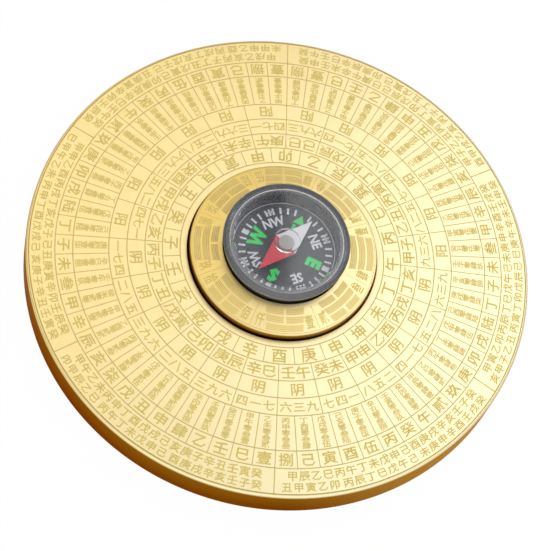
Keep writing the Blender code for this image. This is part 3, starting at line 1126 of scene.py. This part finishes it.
@dataclass
class Plate:
    """The big etched plate.

    Characters of a column stand the width of its ring over column_places apart.
    """

    shop: Workshop
    radius: float = 50.0 * MM
    bottom: float = 0.8 * MM
    face: Face = Face(49.5 * MM, 8.3 * MM, 600.0 * MM)
    rim: Point = (0.50 * MM, 0.90 * MM)
    foot: float = 0.50 * MM
    groove: float = 49.35 * MM
    groove_size: Point = (0.16 * MM, 0.08 * MM)
    bore: float = 18.8 * MM
    bore_round: float = 0.15 * MM
    ledge: Point = (27.9 * MM, 2.2 * MM)
    recess: Point = (22.9 * MM, 5.2 * MM)
    rings_mm: tuple[float, ...] = (20.195, 23.625, 26.99, 30.485, 33.985, 40.905, 44.34)
    line: float = 0.20 * MM
    thin: float = 0.16 * MM
    line_rise: float = 0.012 * MM
    mark_rise: float = 0.015 * MM
    column_places: float = 5.5
    direction_cut: Lettering = Lettering((3.1 * MM, 3.1 * MM))
    pair_cut: Lettering = Lettering((3.0 * MM, 2.7 * MM), pitch=2.95 * MM)
    half_cut: Lettering = Lettering((2.95 * MM, 2.7 * MM))
    yang_cut: Lettering = Lettering((2.4 * MM, 2.2 * MM), pitch=2.35 * MM)
    yin_cut: Lettering = Lettering((2.4 * MM, 2.2 * MM), pitch=2.6 * MM)
    column_cut: Lettering = Lettering((1.7 * MM, 1.35 * MM), 0.016)
    single_cut: Lettering = Lettering((2.9 * MM, 2.65 * MM), 0.018)
    sector_rows: tuple[SectorRow, ...] = (
        SectorRow(45.75 * MM, 19, 4.3, 2.86, Lettering((2.15 * MM, 2.0 * MM), 0.018)),
        SectorRow(47.95 * MM, 20, 2.9, 2.75, Lettering((2.1 * MM, 1.9 * MM), 0.018), (4, 11)),
    )
    counting: Counting = field(default_factory=Counting)

    directions = "午丙巳巽辰乙卯甲寅艮丑癸子壬亥乾戌辛酉庚申坤未丁"
    triples = (
        "九三六 八二五 七一四 八二五 七一四 六九三 "
        "四七一 三六九 二五八 六九三 五八二 四七一 "
        "一七四 二八五 三九六 二八五 三九六 四一七 "
        "六三九 七四一 八五二 四一七 五二八 六三九"
    ).split()

    # How many cells, columns and sectors go round, and where columns and sectors start.
    cells = 24
    columns = 64
    columns_start = 90.0
    sectors = 6
    sectors_start = 30.0
    # How far the single characters and the sectors' pairs step on in their cycles.
    single_stride = 7
    sector_stride = 10
    sector_pairs = 20

    @property
    def rings(self) -> list[float]:
        """Radii of the ring lines."""
        return [radius * MM for radius in self.rings_mm]

    def body(self) -> None:
        """Turn the plate itself."""
        rim_w, rim_h = self.rim
        half, depth = self.groove_size[0] / 2, self.groove_size[1]
        edge = self.bore_round
        inside, outside = self.groove - half, self.groove + half
        bank = self.face.level(inside)
        mouth = self.face.level(self.bore + edge)
        profile = [
            (inside, bank),
            (self.groove - half / 2, bank - depth),
            (self.groove + half / 2, bank - depth),
            (outside, bank),
            *arc(self.face.edge, self.face.top - rim_h, rim_w, rim_h, 90, 0, steps=12),
            (self.radius, self.bottom + self.foot),
            (self.radius - self.foot, self.bottom),
            (self.ledge[0], self.bottom),
            self.ledge,
            (self.recess[0], self.ledge[1]),
            self.recess,
            (self.bore, self.recess[1]),
            *arc(self.bore + edge, mouth - edge, edge, edge, 180, 90, steps=6),
            *self.face.points(self.bore + edge, inside, steps=24),
        ]
        mesh = turned(profile, steps=360, closed=True)
        self.shop.piece("plate", mesh, self.shop.finishes.plate, Body.BASE, "outer_dial")

    def lines(self) -> None:
        """Etch the ring lines and the cell dividers."""
        r = self.rings
        relief = Relief(self.face, self.line_rise)
        for radius in r:
            relief.ring(radius, self.line)
        for i in range(self.cells):
            relief.spoke(around(i + 0.5, self.cells), r[0], r[1], self.thin)
            relief.spoke(around(i, self.cells), r[1], r[4], self.thin)
        for i in range(self.columns):
            relief.spoke(self.columns_start + around(i, self.columns), r[4], r[6], self.thin)
        for i in range(self.sectors):
            angle = self.sectors_start + around(i, self.sectors)
            relief.spoke(angle, r[6], self.groove, self.line)
        self.shop.piece("plate_lines", relief.mesh(), self.shop.finishes.lines, Body.BASE)

    def inner_rings(self) -> None:
        """Etch the directions, the pairs, and yang and yin beside their counting rings."""
        middle = [(a + b) / 2 for a, b in zip(self.rings, self.rings[1:])]
        relief = Relief(self.face, self.mark_rise)
        for i, character in enumerate(self.directions):
            relief.glyph(character, middle[0], around(i, self.cells), self.direction_cut)
        for i, triple in enumerate(self.triples):
            angle = around(i + 0.5, self.cells)
            relief.row(self.counting.pair(i), middle[1], angle, self.pair_cut)
            if i < self.cells / 2:
                relief.glyph("阳", middle[3], angle, self.half_cut)
                relief.row(triple, middle[2], angle, self.yang_cut)
            else:
                relief.glyph("阴", middle[2], angle, self.half_cut)
                relief.row(triple, middle[3], angle, self.yin_cut)
        self.shop.piece("plate_inner_marks", relief.mesh(), self.shop.finishes.marks, Body.BASE)

    def column_middle(self, number: int) -> float:
        """Direction of a column's middle in degrees."""
        return self.columns_start + around(number + 0.5, self.columns)

    def column_marks(self) -> None:
        """Etch the columns, each of a pair and a number."""
        inner, outer = self.rings[4:6]
        pitch = (outer - inner) / self.column_places
        relief = Relief(self.face, self.mark_rise)
        for i in range(self.columns):
            column = self.counting.pair(i) + self.counting.digits(i + 1, places=3)
            for k, character in enumerate(column):
                radius = (inner + outer) / 2 + (k - (len(column) - 1) / 2) * pitch
                relief.glyph(character, radius, self.column_middle(i), self.column_cut)
        self.shop.piece("plate_columns", relief.mesh(), self.shop.finishes.marks, Body.BASE)

    def outer_rings(self) -> None:
        """Etch the single characters over the columns, and the six outer sectors."""
        relief = Relief(self.face, self.mark_rise)
        radius = (self.rings[5] + self.rings[6]) / 2
        singles = self.counting.formal[1:] + self.counting.stems + self.counting.branches
        for i in range(self.columns):
            character = singles[(self.single_stride * i) % len(singles)]
            relief.glyph(character, radius, self.column_middle(i), self.single_cut)
        for i in range(self.sectors):
            start = self.sectors_start + around(i, self.sectors)
            first = self.sector_stride * i
            pairs = (self.counting.pair(first + k) for k in range(self.sector_pairs))
            characters = iter("".join(pairs))
            for row in self.sector_rows:
                for k in range(row.count):
                    relief.glyph(next(characters), row.radius, row.angle(start, k), row.cut)
        self.shop.piece("plate_outer_marks", relief.mesh(), self.shop.finishes.marks, Body.BASE)

    def build(self) -> None:
        """Build the plate and its marks."""
        self.body()
        self.lines()
        self.inner_rings()
        self.column_marks()
        self.outer_rings()


@dataclass
class TrigramDial:
    """The turning inner dial with its eight trigrams."""

    shop: Workshop
    face: Face = Face(18.2 * MM, 11.846 * MM, 120.0 * MM)
    radius: float = 18.5 * MM
    edge: float = 0.30 * MM
    flange: Point = (22.3 * MM, 4.4 * MM)
    bottom: float = 3.2 * MM
    pocket: Point = (12.05 * MM, 6.2 * MM)
    pocket_edge: float = 0.18 * MM
    turn: float = 2.0
    half_width: float = 3.65 * MM
    chords: int = 8
    lines_mm: tuple[Point, ...] = ((13.10, 14.46), (14.78, 16.14), (16.46, 17.83))
    split: float = 0.50 * MM
    bar_rise: float = 0.012 * MM
    hatch_level: Point = (0.010 * MM, 0.020 * MM)
    hatch_count: int = 4
    hatch_width_mm: float = 0.10
    border: float = 18.10 * MM
    line: float = 0.10 * MM
    mark_rise: float = 0.015 * MM
    mark_radius: float = 16.15 * MM
    mark_aside: float = 5.2
    mark_cut: Lettering = Lettering((1.75 * MM, 2.9 * MM), 0.015)

    # Solid and broken lines from inside, anticlockwise from the right.
    trigrams = ("SSS", "SSB", "BBB", "SBS", "BSS", "SBB", "BBS", "BSB")
    wedge_marks = "壹贰叁肆伍陆柒捌玖拾佰仟壹贰叁肆"

    def body(self) -> None:
        """Turn the dial itself."""
        mouth = self.pocket[0] + self.pocket_edge
        profile = [
            (0.0, self.pocket[1]),
            self.pocket,
            (self.pocket[0], self.face.level(mouth) - self.pocket_edge),
            (mouth, self.face.level(mouth)),
            *self.face.points(mouth, self.face.edge, steps=12),
            *arc(self.face.edge, self.face.top - self.edge, self.edge, self.edge, 90, 0, steps=6),
            (self.radius, self.flange[1]),
            self.flange,
            (self.flange[0], self.bottom),
            (0.0, self.bottom),
        ]
        mesh = turned(profile, steps=288, closed=False)
        self.shop.piece("trigram_dial", mesh, self.shop.finishes.dial, Body.DIAL, "inner_dial")

    def bar(self, relief: Relief, angle: float, radii: Point, sides: Point) -> None:
        """Add one stretch of a trigram line: concentric ends and sides along the radius.

        Args:
            relief: Takes the bar.
            angle: The trigram's direction in degrees.
            radii: Inner and outer radius.
            sides: Distances of its sides from the trigram's middle, anticlockwise.
        """
        low, high = sides
        asides = [low + (high - low) * i / self.chords for i in range(self.chords + 1)]
        inner, outer = (
            [beside(angle, math.sqrt(radius * radius - s * s), s) for s in asides]
            for radius in radii
        )
        relief.strip(inner, outer)

    def bars(self) -> None:
        """Etch the trigrams' lines and their fine concentric hatching."""
        low, high = self.hatch_level
        solid = Relief(self.face, self.bar_rise)
        hatch = Relief(self.face, high, -low)
        half, gap, fine = self.half_width, self.split / 2, self.hatch_width_mm / 2
        stretches = {"S": [(-half, half)], "B": [(-half, -gap), (gap, half)]}
        for i, trigram in enumerate(self.trigrams):
            angle = around(i, len(self.trigrams)) + self.turn
            for kind, (inner, outer) in zip(trigram, self.lines_mm):
                for sides in stretches[kind]:
                    self.bar(solid, angle, (inner * MM, outer * MM), sides)
                    for k in range(self.hatch_count):
                        at = inner + (outer - inner) * (k + 0.5) / self.hatch_count
                        self.bar(hatch, angle, ((at - fine) * MM, (at + fine) * MM), sides)
        self.shop.piece("trigram_bars", solid.mesh(), self.shop.finishes.bars, Body.DIAL)
        self.shop.piece("trigram_hatching", hatch.mesh(), self.shop.finishes.hatch, Body.DIAL)

    def wedges(self) -> None:
        """Etch the border line, and the line and two characters between neighbours."""
        relief = Relief(self.face, self.mark_rise)
        relief.ring(self.border, self.line, steps=216)
        inner, outer = self.lines_mm[0][0] * MM, self.lines_mm[2][1] * MM
        marks = iter(self.wedge_marks)
        for i in range(len(self.trigrams)):
            middle = around(i + 0.5, len(self.trigrams)) + self.turn
            relief.spoke(middle, inner, outer, self.line)
            for side in (-1, 1):
                angle = middle + self.mark_aside * side
                relief.glyph(next(marks), self.mark_radius, angle, self.mark_cut)
        self.shop.piece("dial_marks", relief.mesh(), self.shop.finishes.marks, Body.DIAL)

    def build(self) -> None:
        """Build the dial and its marks."""
        self.body()
        self.bars()
        self.wedges()


@dataclass
class ButtonCompass:
    """The button compass: clear dome, black cup and printed card.

    Cross_band is how far the bar across a tick reaches to either side, along the tick and, in
    degrees, round the card.
    """

    shop: Workshop
    top: float = 16.509 * MM
    radius: float = 12.5 * MM
    foot: Point = (11.9 * MM, 12.61 * MM)
    bottom: float = 8.6 * MM
    crown: float = 0.10 * MM
    crown_steps: int = 10
    step: float = 0.12 * MM
    shoulder: Point = (2.00 * MM, 0.95 * MM)
    roof: float = 15.51 * MM
    cavity: float = 11.2 * MM
    inner_round: float = 0.35 * MM
    boss: Point = (2.5 * MM, 14.61 * MM)
    boss_recess: Point = (1.9 * MM, 0.3 * MM)
    pin_hole: Point = (0.65 * MM, 7.85 * MM)
    pin_collar: Point = (1.15 * MM, 10.36 * MM)
    cup_floor: float = 11.01 * MM
    cup_top: float = 15.01 * MM
    cup_wall: Point = (10.5 * MM, 11.05 * MM)
    cup_flange: Point = (11.78 * MM, 7.9 * MM)
    cup_bottom: float = 7.1 * MM
    card_top: float = 11.41 * MM
    card_bottom: float = 11.16 * MM
    card_radius: float = 10.3 * MM
    card_hole: float = 0.9 * MM
    north: float = 68.0
    ink: float = 0.02 * MM
    tick: Point = (7.95 * MM, 9.35 * MM)
    tick_width: float = 0.42 * MM
    wide_tick: float = 1.05 * MM
    cross_band: Point = (0.2 * MM, 5.0)
    north_radius: float = 5.0 * MM
    north_cut: Lettering = Lettering((2.6 * MM, 2.7 * MM), 0.05, heading=Heading.OUTWARD)
    main_radius: float = 6.05 * MM
    main_cut: Lettering = Lettering((3.6 * MM, 3.8 * MM), 0.07, heading=Heading.OUTWARD)
    between_radius: float = 6.35 * MM
    between_cut: Lettering = Lettering((2.45 * MM, 2.75 * MM), 0.035, heading=Heading.OUTWARD)
    arrow_mm: tuple[Point, ...] = ((6.45, -1.25), (8.55, -0.04), (8.55, 0.04), (6.45, 1.25))
    edge_ring: Point = (10.15 * MM, 0.12 * MM)
    print_shift: Point = (0.28 * MM, -0.22 * MM)

    ticks = 36
    points = ("N", "NW", "W", "SW", "S", "SE", "E", "NE")

    def dome(self) -> None:
        """Turn the clear dome."""
        wide, high = self.shoulder
        roof_edge = self.radius - wide - self.step
        shares = [i / self.crown_steps for i in range(self.crown_steps + 1)]
        shoulder_bottom = self.top - self.crown - self.step - high
        inner, curve = self.cavity - self.inner_round, self.inner_round
        profile = [
            *((roof_edge * share, self.top - self.crown * share * share) for share in shares),
            *arc(self.radius - wide, shoulder_bottom, wide, high, 90, 0, steps=24),
            self.foot,
            (self.foot[0], self.bottom),
            (self.cavity, self.bottom),
            *arc(inner, self.roof - curve, curve, curve, 0, 90, steps=8),
            (self.boss[0], self.roof),
            self.boss,
            (self.boss_recess[0], self.boss[1]),
            (0.0, self.boss[1] + self.boss_recess[1]),
        ]
        mesh = turned(profile, steps=256, closed=False)
        self.shop.piece("dome", mesh, self.shop.finishes.acrylic, Body.DIAL, "capsule_dome")

    def cup(self) -> None:
        """Turn the black cup that closes the dome."""
        profile = [
            (0.0, self.pin_hole[1]),
            self.pin_hole,
            (self.pin_hole[0], self.pin_collar[1]),
            self.pin_collar,
            (self.pin_collar[0], self.cup_floor),
            (self.cup_wall[0], self.cup_floor),
            (self.cup_wall[0], self.cup_top),
            (self.cup_wall[1], self.cup_top),
            (self.cup_wall[1], self.cup_flange[1]),
            self.cup_flange,
            (self.cup_flange[0], self.cup_bottom),
            (0.0, self.cup_bottom),
        ]
        mesh = turned(profile, steps=192, closed=False)
        self.shop.piece("cup", mesh, self.shop.finishes.cup, Body.DIAL, "capsule_base")

    def card(self) -> None:
        """Cut the card."""
        profile = [
            (self.card_radius, self.card_top),
            (self.card_radius, self.card_bottom),
            (self.card_hole, self.card_bottom),
            (self.card_hole, self.card_top),
        ]
        mesh = turned(profile, steps=192, closed=True)
        self.shop.piece("card", mesh, self.shop.finishes.card, Body.DIAL, "compass_card")

    def inks(self) -> None:
        """Print the ticks, letters, north mark and edge line."""
        face = Face(self.card_radius, self.card_top)
        white, green = Relief(face, self.ink), Relief(face, self.ink)
        for i in range(self.ticks):
            if i % (self.ticks // 4):
                white.spoke(self.north + around(i, self.ticks), *self.tick, self.tick_width)
        middle = sum(self.tick) / 2
        reach, spread = self.cross_band
        for i, letters in enumerate(self.points):
            angle = self.north + around(i, len(self.points))
            if i == 0:
                green.glyph(letters, self.north_radius, angle, self.north_cut)
            elif i % 2:
                white.spoke(angle, *self.tick, self.tick_width)
                ends = (angle - spread, angle + spread)
                white.band(middle - reach, middle + reach, *ends, steps=6)
                white.glyph(letters, self.between_radius, angle, self.between_cut)
            else:
                white.spoke(angle, *self.tick, self.wide_tick)
                green.glyph(letters, self.main_radius, angle, self.main_cut)
        corners = (beside(self.north, *corner) for corner in self.arrow_mm)
        a, b, c, d = (tuple(part * MM for part in corner) for corner in corners)
        green.strip([a, d], [b, c])
        for relief in (white, green):
            relief.slide(self.print_shift)
        white.ring(*self.edge_ring, steps=192)
        self.shop.piece("card_white_print", white.mesh(), self.shop.finishes.white_ink, Body.DIAL)
        self.shop.piece("card_green_print", green.mesh(), self.shop.finishes.green_ink, Body.DIAL)

    def build(self) -> None:
        """Build the compass's fixed pieces, and dress those that the dome hides."""
        self.dome()
        self.cup()
        self.card()
        self.inks()
        finishes = self.shop.finishes
        self.shop.dress(finishes.rubber, "capsule_seal")
        self.shop.dress(finishes.foam, "capsule_pad")
        self.shop.dress(finishes.pin, "pivot_pin")


@dataclass
class ButtonNeedle:
    """The swinging needle with its hub and bearing."""

    shop: Workshop
    turn_deg: float = -41.8

    def build(self) -> None:
        """Dress the needle's pieces."""
        finishes = self.shop.finishes
        self.shop.dress(finishes.needle, "compass_needle")
        self.shop.dress(finishes.hub, "needle_hub")
        self.shop.dress(finishes.bearing, "needle_bearing")


@dataclass
class Underside:
    """What closes the plate from below, and the friction parts above it."""

    shop: Workshop
    screws: int = 4

    def build(self) -> None:
        """Dress the underside's pieces."""
        finishes = self.shop.finishes
        self.shop.dress(finishes.felt, "base_pad")
        self.shop.dress(finishes.cover, "back_cover")
        self.shop.dress(finishes.nylon, "glide_ring")
        self.shop.dress(finishes.spring, "wave_spring")
        screws = (f"cover_screw_{number + 1}" for number in range(self.screws))
        self.shop.dress(finishes.steel, *screws)


@dataclass(frozen=True)
class Softbox:
    """A soft square lamp that hangs level: its place, the length of its side, and watts."""

    name: str
    place: Place
    side: float
    power: float

    def hang(self) -> None:
        """Hang the lamp."""
        data = bpy.data.lights.new(self.name, "AREA")
        data.shape = "SQUARE"
        data.size = self.side
        data.energy = self.power
        lamp = bpy.data.objects.new(self.name, data)
        bpy.context.scene.collection.objects.link(lamp)
        lamp.location = self.place


@dataclass
class Studio:
    """Camera, floor and soft light.

    The camera's place is in plate radii from the axis at the level of the plate's edge, its turn
    is a rotation vector, and its focus is in pixels of the picture's width.
    """

    reach: float = Plate.radius
    face: float = Plate.face.top
    turn: Place = (2.679, 0.0885, 0.2018)
    place: Place = (-1.0511, -3.6482, 7.1740)
    focus: float = 2064.98
    picture: float = 551.0
    sensor_mm: float = 36.0
    nearest: float = 0.01
    floor_reach: float = 3.0
    floor_level: float = -0.05 * MM
    floor_colour: Colour = (0.82, 0.82, 0.82)
    floor_gloss: float = 0.9
    floor_white: float = 0.98
    white: Colour = (1.0, 1.0, 1.0)
    sky: Colour = (0.97, 0.98, 1.0)
    sky_span: Point = (-0.6, 0.1)
    sky_strength: Point = (1.5, 0.45)
    lamps: tuple[Softbox, ...] = (
        Softbox("left softbox", (-0.277, 0.38, 0.56), 0.645, 1.30),
        Softbox("right softbox", (0.39, 0.29, 0.56), 0.62, 1.79),
    )

    def camera(self) -> None:
        """Set the camera where the photograph was taken."""
        turn = Vector(self.turn)
        axes = Quaternion(turn.normalized(), turn.length).to_matrix()
        data = bpy.data.cameras.new("camera")
        data.sensor_width = self.sensor_mm
        data.lens = data.sensor_width * self.focus / self.picture
        data.clip_start = self.nearest
        camera = bpy.data.objects.new("camera", data)
        bpy.context.scene.collection.objects.link(camera)
        place = Vector(self.place) * self.reach + Vector((0.0, 0.0, self.face))
        facing = Matrix((axes[0], -axes[1], -axes[2])).transposed().to_4x4()
        camera.matrix_world = Matrix.Translation(place) @ facing
        bpy.context.scene.camera = camera

    def floor(self) -> None:
        """Lay the pale floor, which shows white to the camera and keeps a soft shadow."""
        sheet = bmesh.new()
        bmesh.ops.create_grid(sheet, x_segments=1, y_segments=1, size=self.floor_reach)
        mesh = bpy.data.meshes.new("floor")
        sheet.to_mesh(mesh)
        sheet.free()
        floor = bpy.data.objects.new("floor", mesh)
        bpy.context.scene.collection.objects.link(floor)
        floor.location.z = self.floor_level
        material = bpy.data.materials.new("floor")
        graph = Graph(material)
        graph.shade({"Base Color": self.floor_colour, "Roughness": self.floor_gloss})
        seen = graph.rays("Camera", "Glossy", "Transmission") * self.floor_white
        graph.cover(seen, "ShaderNodeEmission", {"Color": self.white, "Strength": 1.0})
        mesh.materials.append(material)

    def world(self) -> None:
        """Light the scene softly, more from the camera's side, with a white background."""
        world = bpy.data.worlds.new("studio")
        graph = Graph(world)
        direction = graph.add("ShaderNodeTexCoord", {}, {}).outputs["Generated"]
        away = graph.split(direction)[1]
        strength = away.ramp(*self.sky_span, *self.sky_strength, Course.EVEN)
        graph.shade({"Color": self.sky, "Strength": strength})
        graph.cover(graph.rays("Camera"), "ShaderNodeBackground", {"Color": self.white})
        bpy.context.scene.world = world

    def build(self) -> None:
        """Set up camera, floor and light."""
        self.camera()
        self.floor()
        self.world()
        for lamp in self.lamps:
            lamp.hang()
        bpy.context.scene.view_settings.view_transform = "Standard"


def main() -> None:
    """Build every sub-assembly and report it."""
    logging.basicConfig(level=logging.INFO, format="%(message)s")
    Studio().build()
    shop = Workshop()
    for assembly in (Underside, Plate, TrigramDial, ButtonCompass, ButtonNeedle):
        assembly(shop).build()
        log.info("%s done, %d pieces so far", assembly.__name__, shop.count)


if __name__ == "__main__":
    main()
